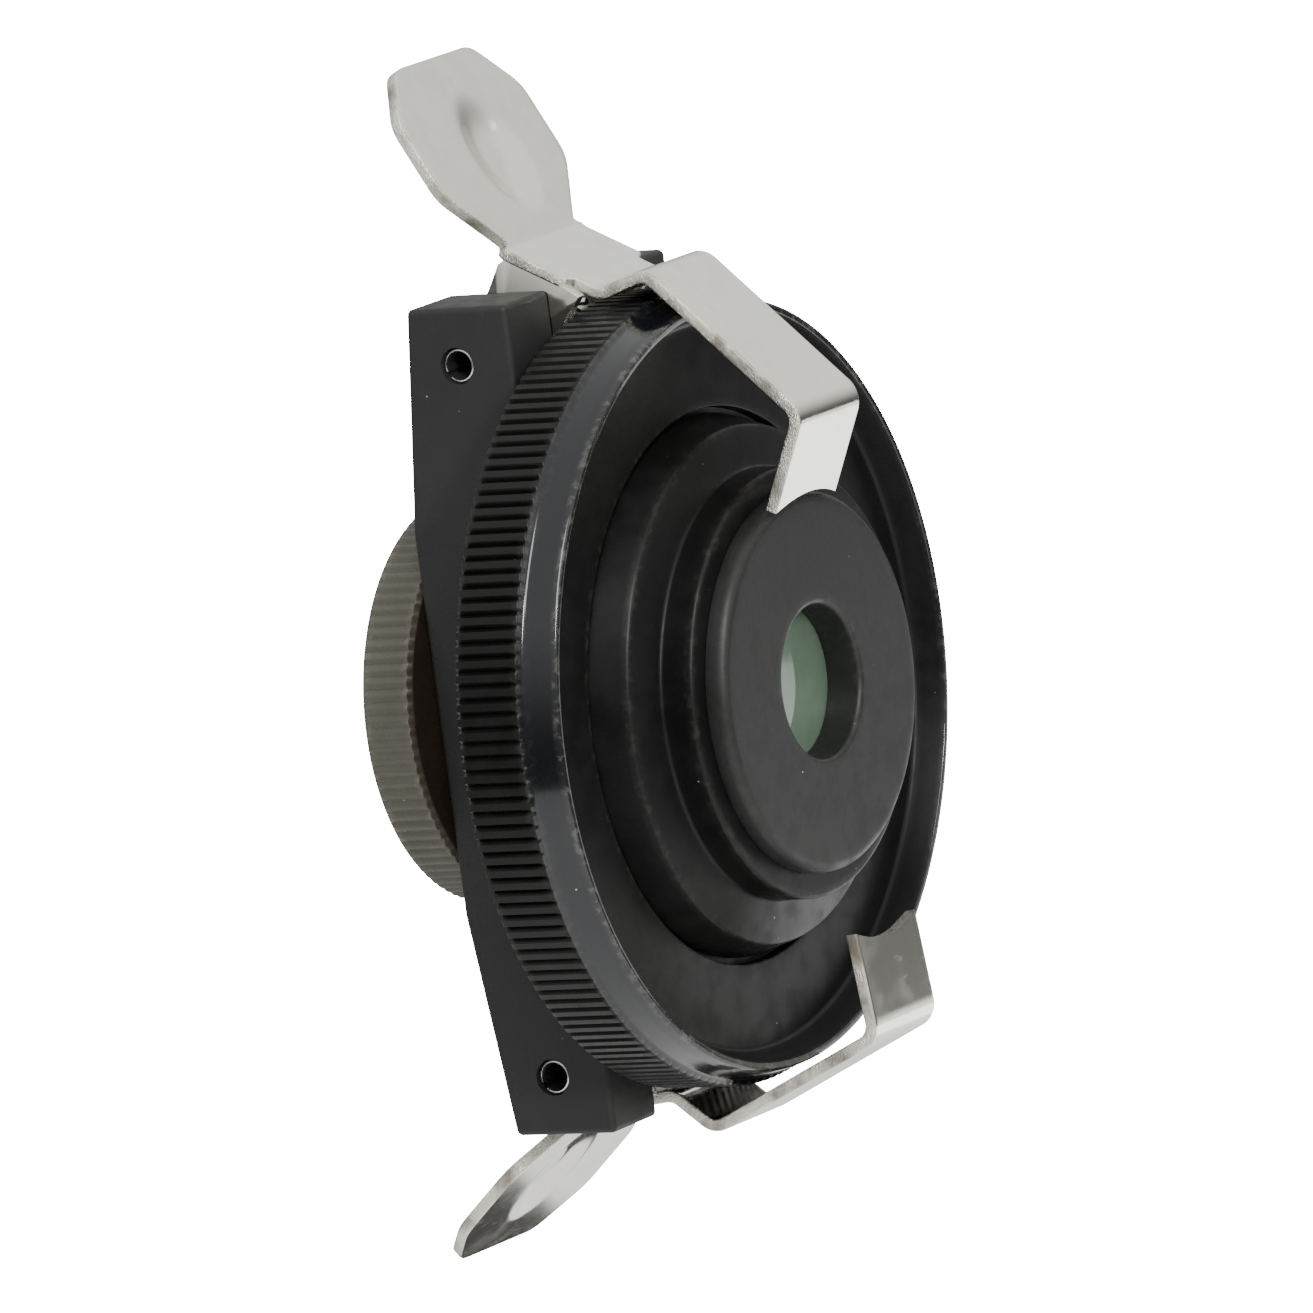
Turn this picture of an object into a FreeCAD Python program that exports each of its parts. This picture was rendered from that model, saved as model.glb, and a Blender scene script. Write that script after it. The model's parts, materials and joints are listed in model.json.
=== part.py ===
"""Clip-on viewing loupe: frame block, knurled cup, two sprung hook levers, focusing lenses.

Millimetres, +Z up. The optical axis is Y and the loupe looks towards -Y. The origin is on the optical
axis at the foot of the front seat. "Forward" (f) is the distance towards -Y, so y = -f.
"""
import FreeCAD, Part
import math
import os
from FreeCAD import Vector

# ---------------------------------------------------------------- driving sizes
# Clearances
run_gap = 0.05            # radial gap of a turning or sliding fit
side_gap = 0.15           # gap beside a moving face
ring_gap = 0.20           # gap between a closed lever and the knurled cup

# Frame block
block_half_width = 12.9
block_half_height = 33.6
block_front = -12.2
block_back_middle = -23.5
block_back_end = -21.4
block_flat_half_height = 15.5
block_edge = 0.5          # rounded long edges

# Pivots
pivot_height = 28.9
pivot_forward = -17.3
pin_radius = 1.5
pin_wall = 0.33
pin_slot = 0.7

# Levers (bent sheet)
sheet = 1.0
arm_width = 9.8           # the strip that makes the arm and the hook
ear_width = 12.3          # over the two bent-down ears
bend_radius = 1.7
ear_foot_radius = 3.1
paddle_length = 17.4
paddle_half_width = 9.8
paddle_tip_share = 0.62   # the paddle's tip is this share of its width
paddle_shoulder = 4.4     # the paddle reaches its full width this far from its tip
paddle_corner = 3.2
neck_half_width = 5.0
lean_deg = 119            # how far a paddle leans back, from straight forward
lower_open_deg = 20.0     # the lower lever rests this much further open
lower_drop = 2.75         # its ears are this much shorter
lower_back = 2.4          # and its pin holes this much further forward
lower_spring_deg = 2.5
neck_forward = 1.6        # these places on a lever are measured from its pin
neck_out = 7.6
valley_forward = 9.2
arm_slope_deg = 44
crest_back = 2.4          # the crest stands this far behind the rim
hook_reach = 10.0         # and the hook's bend this far in front of it
hook_return = 3.6
hook_drop = 7.6
hook_hollow = 1.0
web_share = 0.72          # share of the neck-to-valley run that carries the ears
web_overlap = 0.6

# Torsion springs
spring_wire = 0.6
spring_turns = 5.5
spring_inner_radius = 2.1
spring_leg = 3.8

# Knurled cup
cup_radius = 32.0
rim_radius = 30.8
rim_inner_radius = 30.2
rim_plane = -1.5
knurl_front = -4.3
knurl_back = -10.1
floor_outer_radius = 29.2
floor_front = -3.9
floor_thickness = 2.4
skirt_inner_radius = 29.6
hub_wall = 2.6

# Stepped seat and centre cap
tier_one_foot_radius = 21.8
tier_one_radius = 20.8
tier_one_edge = -0.9     # the first tier's face rises from here to the seat's foot
seat_radius = 17.3        # outside of the second tier: the front seat
seat_height = 2.9
cap_foot_radius = 15.3
cap_face_radius = 14.5
cap_height = 4.7
cap_edge = 1.2
sight_radius = 6.1
sight_back = 1.6
spigot_radius = 12.0

# Main sleeve
sleeve_radius = 10.8
sleeve_bore = 8.9
flange_radius = 19.4
flange_thickness = 1.5
screw_circle_radius = 16.5
screw_radius = 1.0
screw_head_radius = 1.9
screw_length = 7.0
sleeve_front = 0.5
sleeve_back = -28.7
rear_bore_radius = 9.6
rear_bore_depth = 1.6

# Front lens cell and its drive
cell_front = -2.0
cell_back = -15.0
cell_bore = 7.5
cell_lip_bore = 6.8
focus_travel = 1.2
guide_pin_radius = 0.8
guide_forward = -7.1
cam_front = -4.3
cam_back = -9.9

# Eye ring and its lens cell
eye_ring_radius = 16.4
eye_ring_front = -23.75
eye_ring_back = -28.5
eye_cell_front = -18.5
eye_cell_back = -26.4
eye_travel = 0.6
eye_guide_forward = -24.9


# ---------------------------------------------------------------- helpers
def at(radius, forward):
    """Point of a turned profile."""
    return Vector(radius, -forward, 0)


def turned(points):
    """Solid of revolution about the optical axis from (radius, forward) points."""
    corners = [at(r, f) for r, f in points]
    wire = Part.makePolygon(corners + [corners[0]])
    return Part.Face(wire).revolve(Vector(0, 0, 0), Vector(0, 1, 0), 360)


def tube(inner, outer, front, back):
    """Ring about the optical axis."""
    return turned([(inner, front), (outer, front), (outer, back), (inner, back)])


def rod(radius, start, end):
    """Round bar between two points."""
    run = end - start
    return Part.makeCylinder(radius, run.Length, start, run)


def box(x, forward, z):
    """Box from (low, high) pairs along x, forward and z."""
    low = Vector(x[0], -forward[1], z[0])
    return Part.makeBox(x[1] - x[0], forward[1] - forward[0], z[1] - z[0], low)


def screw_places(shape):
    """Copies of a shape at the four sleeve screws, above and below the bore."""
    copies = []
    for angle in (60, 120, 240, 300):
        copy = shape.copy()
        copy.rotate(Vector(0, 0, 0), Vector(0, 1, 0), angle)
        copies.append(copy)
    return copies


def lens(radius, front, back, front_bulge, back_bulge):
    """Round lens with spherical faces; the bulges are inside the given front and back."""
    def face_mid(bulge):
        sphere = (radius ** 2 + bulge ** 2) / (2 * bulge)
        return sphere - math.sqrt(sphere ** 2 - (radius / 2) ** 2)
    edge_front = front - front_bulge
    edge_back = back + back_bulge
    curve_front = Part.Arc(at(0, front), at(radius / 2, front - face_mid(front_bulge)),
                           at(radius, edge_front)).toShape()
    curve_back = Part.Arc(at(radius, edge_back), at(radius / 2, back + face_mid(back_bulge)),
                          at(0, back)).toShape()
    rim = Part.makeLine(at(radius, edge_front), at(radius, edge_back))
    axis = Part.makeLine(at(0, back), at(0, front))
    wire = Part.Wire([curve_front, rim, curve_back, axis])
    return Part.Face(wire).revolve(Vector(0, 0, 0), Vector(0, 1, 0), 360)


def sheet_strip(points, radius, thickness, half_width):
    """Bent sheet along a line of (forward, out) points with round bends, as wide as asked along X."""
    def fold(spot):
        return Vector(-half_width, -spot.x, spot.y)

    def offset_chain(side):
        edges = []
        last = None
        count = len(points)
        for i in range(count):
            here = Vector(points[i][0], points[i][1], 0)
            run_in = None if i == 0 else here - Vector(points[i - 1][0], points[i - 1][1], 0)
            run_out = None if i == count - 1 else Vector(points[i + 1][0], points[i + 1][1], 0) - here
            for run in (run_in, run_out):
                if run is not None:
                    run.normalize()
            if run_in is None or run_out is None:
                run = run_in or run_out
                spot = here + Vector(-run.y, run.x, 0) * (side * thickness / 2)
                if last is not None:
                    edges.append(Part.makeLine(fold(last), fold(spot)))
                last = spot
                continue
            turn = math.atan2(run_in.x * run_out.y - run_in.y * run_out.x, run_in.dot(run_out))
            hand = 1 if turn > 0 else -1
            reach = radius * math.tan(abs(turn) / 2)
            normal_in = Vector(-run_in.y, run_in.x, 0)
            normal_out = Vector(-run_out.y, run_out.x, 0)
            centre = here - run_in * reach + normal_in * (hand * radius)
            bend = radius - side * hand * thickness / 2
            start = centre - normal_in * (hand * bend)
            end = centre - normal_out * (hand * bend)
            middle = (start + end) * 0.5 - centre
            middle.normalize()
            edges.append(Part.makeLine(fold(last), fold(start)))
            edges.append(Part.Arc(fold(start), fold(centre + middle * bend), fold(end)).toShape())
            last = end
        return edges

    left = offset_chain(1)
    right = offset_chain(-1)
    ends = [Part.makeLine(left[0].Vertexes[0].Point, right[0].Vertexes[0].Point),
            Part.makeLine(left[-1].Vertexes[-1].Point, right[-1].Vertexes[-1].Point)]
    wire = Part.Wire(Part.__sortEdges__(left + right + ends))
    return Part.Face(wire).extrude(Vector(2 * half_width, 0, 0))


# ---------------------------------------------------------------- sizes that follow
cam_radius = sleeve_radius + 2.0
hub_outer_radius = cam_radius + hub_wall
snap_bore = sleeve_radius - 0.6
cup_snap_front = floor_front + 0.45
cup_snap_back = cup_snap_front - 0.7
eye_snap_front = eye_ring_back + 0.95
eye_snap_back = eye_snap_front - 0.5
eye_counterbore = sleeve_radius + 1.4
slot_half = ear_width / 2 + side_gap
slot_floor = pivot_height - ear_foot_radius - 1.3
upper_axis = Vector(0, -pivot_forward, pivot_height)
lower_axis = Vector(0, -pivot_forward, -pivot_height)


# ---------------------------------------------------------------- frame
def frame_block():
    """Black block with a bowed back, a bore for the sleeve and a slot between two ears at each end."""
    profile = [(block_front, block_half_height), (block_back_end, block_half_height),
               (block_back_middle, block_flat_half_height), (block_back_middle, -block_flat_half_height),
               (block_back_end, -block_half_height), (block_front, -block_half_height)]
    corners = [Vector(-block_half_width, -f, z) for f, z in profile]
    body = Part.Face(Part.makePolygon(corners + [corners[0]])).extrude(Vector(2 * block_half_width, 0, 0))
    rounded = [e for e in body.Edges if abs(abs(e.CenterOfMass.x) - block_half_width) < 1e-6
               or abs(abs(e.CenterOfMass.z) - block_half_height) < 1e-6]
    body = body.makeFillet(block_edge, rounded)
    body = body.cut(tube(0, sleeve_radius, block_front + 1, block_back_middle - 1))
    for side in (1, -1):
        low, high = sorted([side * slot_floor, side * (block_half_height + 1)])
        body = body.cut(box((-slot_half, slot_half), (block_back_middle - 1, block_front + 1), (low, high)))
        centre = side * pivot_height
        hole = rod(pin_radius, Vector(-block_half_width - 1, -pivot_forward, centre),
                   Vector(block_half_width + 1, -pivot_forward, centre))
        body = body.cut(hole)
    pilot = rod(screw_radius, at(screw_circle_radius, block_front + 1),
                at(screw_circle_radius, block_front - screw_length + flange_thickness))
    for copy in screw_places(pilot):
        body = body.cut(copy)
    return body


def pivot_pin(axis):
    """Slotted spring pin: a rolled tube with one lengthwise slot."""
    left = axis + Vector(-block_half_width + 0.3, 0, 0)
    right = axis + Vector(block_half_width - 0.3, 0, 0)
    pin = rod(pin_radius, left, right).cut(rod(pin_radius - pin_wall, left, right))
    slot = Part.makeBox(right.x - left.x, pin_slot, pin_radius + 1, Vector(left.x, -pin_slot / 2, -pin_radius - 1))
    slot.rotate(Vector(0, 0, 0), Vector(1, 0, 0), 35)
    slot.translate(Vector(0, axis.y, axis.z))
    return pin.cut(slot)


def main_sleeve():
    """Tube through the block with a screwed flange, guide slots and a rear counterbore."""
    flange_front = block_front + flange_thickness
    body = turned([(sleeve_bore, sleeve_front), (sleeve_radius, sleeve_front), (sleeve_radius, flange_front),
                   (flange_radius, flange_front), (flange_radius, block_front), (sleeve_radius, block_front),
                   (sleeve_radius, sleeve_back), (rear_bore_radius, sleeve_back),
                   (rear_bore_radius, sleeve_back + rear_bore_depth),
                   (sleeve_bore, sleeve_back + rear_bore_depth)])
    body = body.cut(tube(snap_bore, sleeve_radius + 1, cup_snap_front, cup_snap_back))
    body = body.cut(tube(snap_bore, sleeve_radius + 1, eye_snap_front, eye_snap_back))
    for middle, travel in ((guide_forward, focus_travel), (eye_guide_forward, eye_travel)):
        half = guide_pin_radius + run_gap
        slot = box((0, sleeve_radius + 1), (middle - travel, middle + travel), (-half, half))
        for end in (middle - travel, middle + travel):
            slot = slot.fuse(rod(half, at(0, end), at(sleeve_radius + 1, end)))
        body = body.cut(slot)
    for seat in screw_places(screw_cut()):
        body = body.cut(seat)
    return body


def screw_profile(gap):
    """Countersunk screw along the axis direction, grown by a gap."""
    head = block_front + flange_thickness - 0.1 + gap
    cone = 0.9
    shank_end = block_front - screw_length + flange_thickness
    axis = screw_circle_radius
    bar = rod(screw_radius + gap, at(axis, head), at(axis, shank_end))
    top = Part.makeCone(screw_head_radius + gap, screw_radius + gap, cone, at(axis, head), Vector(0, 1, 0))
    return bar.fuse(top)


def screw_cut():
    """Clearance for one sleeve screw."""
    mouth = rod(screw_head_radius + run_gap, at(screw_circle_radius, block_front + flange_thickness + 1),
                at(screw_circle_radius, block_front + flange_thickness - 0.1 + run_gap))
    return screw_profile(run_gap).fuse(mouth)


def sleeve_screws():
    """Four countersunk screws with straight driver slots."""
    one = screw_profile(0)
    head = block_front + flange_thickness - 0.1
    one = one.cut(box((screw_circle_radius - 2.5, screw_circle_radius + 2.5), (head - 0.5, head + 1),
                      (-0.25, 0.25)))
    return Part.makeCompound(screw_places(one))


# ---------------------------------------------------------------- snap rings
def snap_ring(outer, front, back):
    """Open wire ring that sits in a groove of the sleeve."""
    body = tube(snap_bore, outer, front, back)
    return body.cut(box((-1.5, 1.5), (back - 1, front + 1), (0, outer + 1)))


# ---------------------------------------------------------------- levers
def lever_line(lower):
    """Side line of the bent sheet, relative to the pin: (forward, outward) corners."""
    knurl_clear = cup_radius - pivot_height + ring_gap + sheet / 2
    slope = math.radians(arm_slope_deg)
    rim_clear = rim_radius - pivot_height + (ring_gap + 0.1 + sheet / 2) / math.cos(slope)
    rim_spot = rim_plane - pivot_forward
    neck = (neck_forward, neck_out)
    valley = (valley_forward, knurl_clear + run_gap)
    crest = (rim_spot - crest_back, rim_clear + crest_back * math.tan(slope))
    hook = (rim_spot + hook_reach, rim_clear - hook_reach * math.tan(slope))
    tip = (hook[0] - hook_return, hook[1] - hook_drop)
    lean = math.radians(lean_deg)
    paddle = (neck[0] + paddle_length * math.cos(lean), neck[1] + paddle_length * math.sin(lean))
    line = [paddle, neck, valley, crest, hook, tip]
    return [(a - lower_back, b - lower_drop) for a, b in line] if lower else line


def paddle_prism(paddle, neck):
    """Prism that trims the paddle to its rounded shape; it stands square to the paddle."""
    length = paddle_length
    wide = paddle_half_width
    tall = 12
    half = [(neck_half_width, -0.5), (neck_half_width + 0.6, 1.2), (wide, paddle_shoulder + 1.8),
            (wide, length - paddle_shoulder), (wide * paddle_tip_share, length), (0, length)]
    points = [Vector(x, s, 0) for x, s in half] + [Vector(-x, s, 0) for x, s in reversed(half[:-1])]
    wire = Part.makePolygon(points + [points[0]])
    prism = Part.Face(wire).extrude(Vector(0, 0, tall))
    corners = [e for e in prism.Edges if abs(e.Length - tall) < 1e-6 and e.CenterOfMass.y > 2
               and abs(e.CenterOfMass.x) > 1]
    prism = prism.makeFillet(paddle_corner, corners)
    prism.translate(Vector(0, 0, -tall / 2))
    run = Vector(0, -(paddle[0] - neck[0]), paddle[1] - neck[1])
    run.normalize()
    tilt = math.degrees(math.atan2(run.z, run.y))
    prism.rotate(Vector(0, 0, 0), Vector(1, 0, 0), tilt)
    prism.translate(Vector(0, -neck[0], neck[1]))
    return prism


def ear_outline(line):
    """Corners of a bent-down ear, relative to the pin: (forward, outward)."""
    neck, valley = line[1], line[2]
    web_end = (neck[0] + web_share * (valley[0] - neck[0]), neck[1] + web_share * (valley[1] - neck[1]))
    foot = ear_foot_radius
    return [(-foot * 0.93, foot * 0.29), (neck[0] - 1.4, neck[1] * 0.68), (neck[0] - 0.6, neck[1] - 0.4),
            web_end, (valley[0] - 1.2, valley[1] + 0.2), (foot * 1.74, foot * 0.32),
            (foot * 0.8, -foot * 0.55)]


def lever_at_pin(lower):
    """One lever, closed, with its pin at the origin: paddle, neck ears, valley, arm and hook."""
    line = lever_line(lower)
    paddle, neck, valley, _, hook, tip = line
    longer = 1 + 0.6 / paddle_length
    beyond = tuple(n + (p - n) * longer for p, n in zip(paddle, neck))
    whole = sheet_strip([beyond] + line[1:], bend_radius, sheet, paddle_half_width + 1)
    web_end = neck[0] + web_share * (valley[0] - neck[0])
    web = box((-ear_width / 2, ear_width / 2), (neck[0] - web_overlap, web_end), (0, neck[1] + 0.7))
    arm = box((-arm_width / 2, arm_width / 2), (neck[0], hook[0] + 5), (tip[1] - 5, neck[1] + 5))
    strip = whole.common(paddle_prism(paddle, neck)).fuse(whole.common(web)).fuse(whole.common(arm))
    for side in (1, -1):
        outer_x = side * ear_width / 2
        thick = -side * sheet
        corners = [Vector(outer_x, -f, z) for f, z in ear_outline(line)]
        plate = Part.Face(Part.makePolygon(corners + [corners[0]])).extrude(Vector(thick, 0, 0))
        foot = rod(ear_foot_radius, Vector(outer_x, 0, 0), Vector(outer_x + thick, 0, 0))
        strip = strip.fuse(plate).fuse(foot)
    hole = rod(pin_radius + run_gap, Vector(-ear_width, 0, 0), Vector(ear_width, 0, 0))
    strip = strip.cut(hole)
    # The hook's tip is cut to a hollow edge that is centred on the optical axis.
    tip_height = pivot_height + tip[1] + hook_hollow
    hollow = rod(tip_height, Vector(0, -60, -pivot_height), Vector(0, 60, -pivot_height))
    ends = box((-arm_width, arm_width), (tip[0] - 3, hook[0] + 3), (tip[1] - 3, tip[1] + 2.5))
    return strip.cut(hollow.common(ends)).removeSplitter()


def place_upper(shape):
    """Put a shape made at the pin on the upper pivot."""
    done = shape.copy()
    done.translate(upper_axis)
    return done


def place_lower(shape, open_deg):
    """Put a shape made at the pin on the lower pivot, turned over and opened further."""
    done = shape.copy()
    done.rotate(Vector(0, 0, 0), Vector(0, 1, 0), 180)
    done.rotate(Vector(0, 0, 0), Vector(1, 0, 0), open_deg)
    done.translate(lower_axis)
    return done


def torsion_spring():
    """Close-wound spring round the pin, with one leg under the web and one on the slot's floor."""
    pitch = spring_wire + 0.08
    height = pitch * spring_turns
    radius = spring_inner_radius + spring_wire / 2
    helix = Part.makeHelix(pitch, height, radius)
    start = Vector(radius, 0, 0)
    circle = Part.Wire(Part.makeCircle(spring_wire / 2, start, Vector(0, 1, 0)))
    coil = Part.Wire(helix).makePipeShell([circle], True, True)
    leg = rod(spring_wire / 2, start, start + Vector(0, -spring_leg, 0))
    end = Vector(-radius, 0, height)
    other = rod(spring_wire / 2, end, end + Vector(0, -spring_leg, 0))
    body = coil.fuse(leg).fuse(other)
    body.rotate(Vector(0, 0, 0), Vector(0, 1, 0), 90)
    body.translate(Vector(-height / 2, 0, 0))
    return body


# ---------------------------------------------------------------- knurled cup and its drive
def knurled_cup():
    """Cup with a knurled band, smooth band, thin rim, inner wall, floor and hub."""
    floor_back = floor_front - floor_thickness
    groove = tier_one_foot_radius + 0.5
    return turned([
        (cam_radius, floor_front - 0.8), (groove, floor_front - 0.8), (groove, floor_front - 0.25),
        (floor_outer_radius, floor_front), (rim_inner_radius, rim_plane), (rim_radius, rim_plane),
        (cup_radius - 0.4, knurl_front), (cup_radius, knurl_front - 0.3), (cup_radius, knurl_back),
        (skirt_inner_radius, knurl_back), (skirt_inner_radius, floor_back), (hub_outer_radius, floor_back),
        (hub_outer_radius, knurl_back), (cam_radius, knurl_back)])


def cam_ring():
    """Brass ring in the cup's hub; its inner groove moves the guide pin."""
    body = tube(sleeve_radius + run_gap, cam_radius, cam_front, cam_back)
    reach = focus_travel + guide_pin_radius + 0.1
    return body.cut(tube(sleeve_radius - 1, sleeve_radius + 1.2, guide_forward + reach, guide_forward - reach))


def stepped_seat():
    """Two raised tiers round the sight hole; the second one is the front seat."""
    back = floor_front - 0.5
    shelf = seat_height
    recess = sleeve_radius + 2.4
    return turned([
        (sleeve_radius, sleeve_front), (sleeve_bore, sleeve_front), (sleeve_bore, shelf - 2.0),
        (spigot_radius, shelf - 2.0), (spigot_radius, shelf), (seat_radius - 0.3, shelf), (seat_radius, shelf - 0.3),
        (seat_radius, 0.0), (tier_one_radius - 0.3, tier_one_edge), (tier_one_radius, tier_one_edge - 0.3),
        (tier_one_foot_radius, back), (recess, back), (recess, cup_snap_front + 0.1),
        (sleeve_radius, cup_snap_front + 0.1)])


def centre_cap():
    """Front disc with a rounded edge and the sight hole, spigoted into the seat."""
    turn = cap_edge
    points = [at(sight_radius, sight_back), at(spigot_radius, sight_back), at(spigot_radius, seat_height)]
    points += [at(cap_foot_radius, seat_height), at(cap_foot_radius - 0.1, cap_height - turn)]
    edges = [Part.makeLine(points[i], points[i + 1]) for i in range(4)]
    edge_start = points[-1]
    edge_end = at(cap_foot_radius - 0.1 - turn, cap_height)
    swing = turn * (1 - math.sqrt(0.5))
    edges.append(Part.Arc(edge_start, at(edge_start.x - swing, cap_height - swing), edge_end).toShape())
    lip = 0.5
    hole_start = at(sight_radius + lip, cap_height)
    edges.append(Part.makeLine(edge_end, hole_start))
    bow = lip * (1 - math.sqrt(0.5))
    hole_end = at(sight_radius, cap_height - lip)
    edges.append(Part.Arc(hole_start, at(sight_radius + bow, cap_height - bow), hole_end).toShape())
    edges.append(Part.makeLine(hole_end, points[0]))
    return Part.Face(Part.Wire(edges)).revolve(Vector(0, 0, 0), Vector(0, 1, 0), 360)


def guide_pin(forward, inner, outer):
    """Small round pin that stands out of a lens cell towards +X."""
    return rod(guide_pin_radius, at(inner, forward), at(outer, forward))


def lens_cell():
    """Sliding tube that holds the two front lenses."""
    outer = sleeve_bore - run_gap
    body = turned([(cell_lip_bore, cell_front), (outer, cell_front), (outer, cell_back), (cell_bore, cell_back),
                   (cell_bore, cell_front - 0.8), (cell_lip_bore, cell_front - 0.8)])
    return body.cut(guide_pin(guide_forward, cell_bore - 1, outer + 1))


def threaded_ring(outer, inner, front, back):
    """Retaining ring with two driver notches in its back face."""
    body = tube(inner, outer, front, back)
    return body.cut(box((-0.5, 0.5), (back - 1, back + 0.6), (-outer - 1, outer + 1)))


# ---------------------------------------------------------------- eye ring and its cell
def ribbed_eye_ring():
    """Outer eye ring with an inner groove for the eye cell's guide pin."""
    reach = eye_travel + guide_pin_radius + 0.1
    body = turned([
        (sleeve_radius + run_gap, eye_ring_front), (eye_ring_radius - 0.4, eye_ring_front),
        (eye_ring_radius, eye_ring_front - 0.4), (eye_ring_radius, eye_ring_back + 0.4),
        (eye_ring_radius - 0.4, eye_ring_back), (eye_counterbore, eye_ring_back),
        (eye_counterbore, eye_snap_front + 0.1), (sleeve_radius + run_gap, eye_snap_front + 0.1)])
    groove = tube(sleeve_radius - 1, sleeve_radius + 1.0, eye_guide_forward + reach,
                  eye_guide_forward - reach)
    return body.cut(groove)


def eye_lens_cell():
    """Sliding tube that holds the eye lens."""
    outer = sleeve_bore - run_gap
    body = turned([(cell_lip_bore, eye_cell_front), (outer, eye_cell_front), (outer, eye_cell_back),
                   (cell_bore, eye_cell_back), (cell_bore, eye_cell_front - 2.6),
                   (cell_lip_bore, eye_cell_front - 2.6)])
    return body.cut(guide_pin(eye_guide_forward, cell_bore - 1, outer + 1))


def main():
    """Build every node and write it to parts."""
    spring = torsion_spring()
    groove_top = sleeve_radius + 0.9
    nodes = {
        "frame_block": frame_block(),
        "upper_pivot_pin": pivot_pin(upper_axis),
        "lower_pivot_pin": pivot_pin(lower_axis),
        "main_sleeve": main_sleeve(),
        "sleeve_screws": sleeve_screws(),
        "cup_snap_ring": snap_ring(sleeve_radius + 1.6, cup_snap_front, cup_snap_back),
        "eye_snap_ring": snap_ring(sleeve_radius + 1.1, eye_snap_front, eye_snap_back),
        "wave_washer": tube(sleeve_radius + 0.3, hub_outer_radius - 0.6, knurl_back - 0.1,
                            block_front + flange_thickness + 0.1),
        "stepped_seat": stepped_seat(),
        "centre_cap": centre_cap(),
        "front_window": tube(0, sleeve_bore - 0.1, sight_back - 0.05, sleeve_front - 0.4),
        "upper_lever": place_upper(lever_at_pin(False)),
        "lower_lever": place_lower(lever_at_pin(True), lower_open_deg),
        "upper_spring": place_upper(spring),
        "lower_spring": place_lower(spring, lower_spring_deg),
        "knurled_cup": knurled_cup(),
        "cam_ring": cam_ring(),
        "lens_cell": lens_cell(),
        "guide_pin": guide_pin(guide_forward, cell_bore, groove_top),
        "front_lens": lens(cell_bore, cell_front - 0.8, cell_front - 4.8, 0.9, 0.9),
        "lens_spacer": tube(cell_lip_bore, cell_bore, cell_front - 4.15, cell_front - 7.25),
        "rear_lens": lens(cell_bore, cell_front - 6.6, cell_front - 10.8, 0.9, 0.4),
        "lens_retaining_ring": threaded_ring(cell_bore, cell_lip_bore - 0.3, cell_front - 10.65, cell_back + 0.3),
        "ribbed_eye_ring": ribbed_eye_ring(),
        "eye_lens_cell": eye_lens_cell(),
        "eye_guide_pin": guide_pin(eye_guide_forward, cell_bore, sleeve_radius + 0.7),
        "eye_lens": lens(cell_bore, eye_cell_front - 2.6, eye_cell_front - 5.6, 0.4, 1.1),
        "eye_lens_retaining_ring": threaded_ring(cell_bore, cell_lip_bore - 0.3, eye_cell_front - 4.6 - 0.9,
                                                 eye_cell_back + 0.3),
    }
    os.makedirs("parts", exist_ok=True)
    for name, shape in nodes.items():
        shape.exportStep("parts/%s.step" % name)
        print("%-24s valid %s solids %d volume %.1f" % (name, shape.isValid(), len(shape.Solids), shape.Volume))


main()
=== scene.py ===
"""Clip-on viewing loupe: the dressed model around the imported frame.

Every piece is built in metres in the frame's own axes: the optical axis is Y and the loupe looks
towards -Y, +Z is up and the pivot pins lie along X. "Forward" (f) is the distance towards -Y.
"""
import json
import logging
import math
from dataclasses import dataclass
from enum import Enum
from typing import Callable, Sequence

import bmesh
import bpy
from mathutils import Matrix, Vector


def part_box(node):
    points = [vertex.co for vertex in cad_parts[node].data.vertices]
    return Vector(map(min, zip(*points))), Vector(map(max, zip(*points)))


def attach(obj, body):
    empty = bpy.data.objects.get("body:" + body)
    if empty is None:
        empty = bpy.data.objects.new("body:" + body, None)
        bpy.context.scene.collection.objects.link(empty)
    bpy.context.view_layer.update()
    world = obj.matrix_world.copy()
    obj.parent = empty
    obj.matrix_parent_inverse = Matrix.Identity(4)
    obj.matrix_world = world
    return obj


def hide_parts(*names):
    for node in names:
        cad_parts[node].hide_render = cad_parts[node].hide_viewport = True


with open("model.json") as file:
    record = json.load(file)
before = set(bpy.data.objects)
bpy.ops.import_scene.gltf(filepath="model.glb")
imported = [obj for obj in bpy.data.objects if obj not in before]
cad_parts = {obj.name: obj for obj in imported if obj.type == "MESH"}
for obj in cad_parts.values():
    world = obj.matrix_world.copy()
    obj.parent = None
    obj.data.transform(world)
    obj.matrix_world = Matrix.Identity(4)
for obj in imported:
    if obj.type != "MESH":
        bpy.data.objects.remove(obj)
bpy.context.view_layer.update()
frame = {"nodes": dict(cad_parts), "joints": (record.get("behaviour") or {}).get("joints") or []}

MM = 0.001
TAU = 2 * math.pi
RIM_RADIUS = 30.8   # outside of the cup's rim, in mm
LOG = logging.getLogger("loupe")
logging.basicConfig(level=logging.INFO, format="%(message)s")

Profile = list[tuple[float, float, float]]   # radius, forward and wear at each corner, in mm
Point = tuple[float, float, float]
Pair = tuple[float, float]
Socket = bpy.types.NodeSocket

CLOUD_MM, SMEAR_MM, CHIP_MM = 9.0, 2.2, 0.8   # sizes of the tone, gloss and worn patches on black finishes
DUST_CELL_MM, DUST_PATCH_MM = 1.7, 3.1
DUST_COLOUR: Point = (0.62, 0.62, 0.58)
SMUDGE_MM, SCRATCH_MM, HAZE_MM = 3.0, 0.5, 4.0   # marks on metal and glass


# ---------------------------------------------------------------- shading
class Coat(Enum):
    """What a finish is laid on."""

    METAL = 1.0
    PAINT = 0.0


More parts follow.
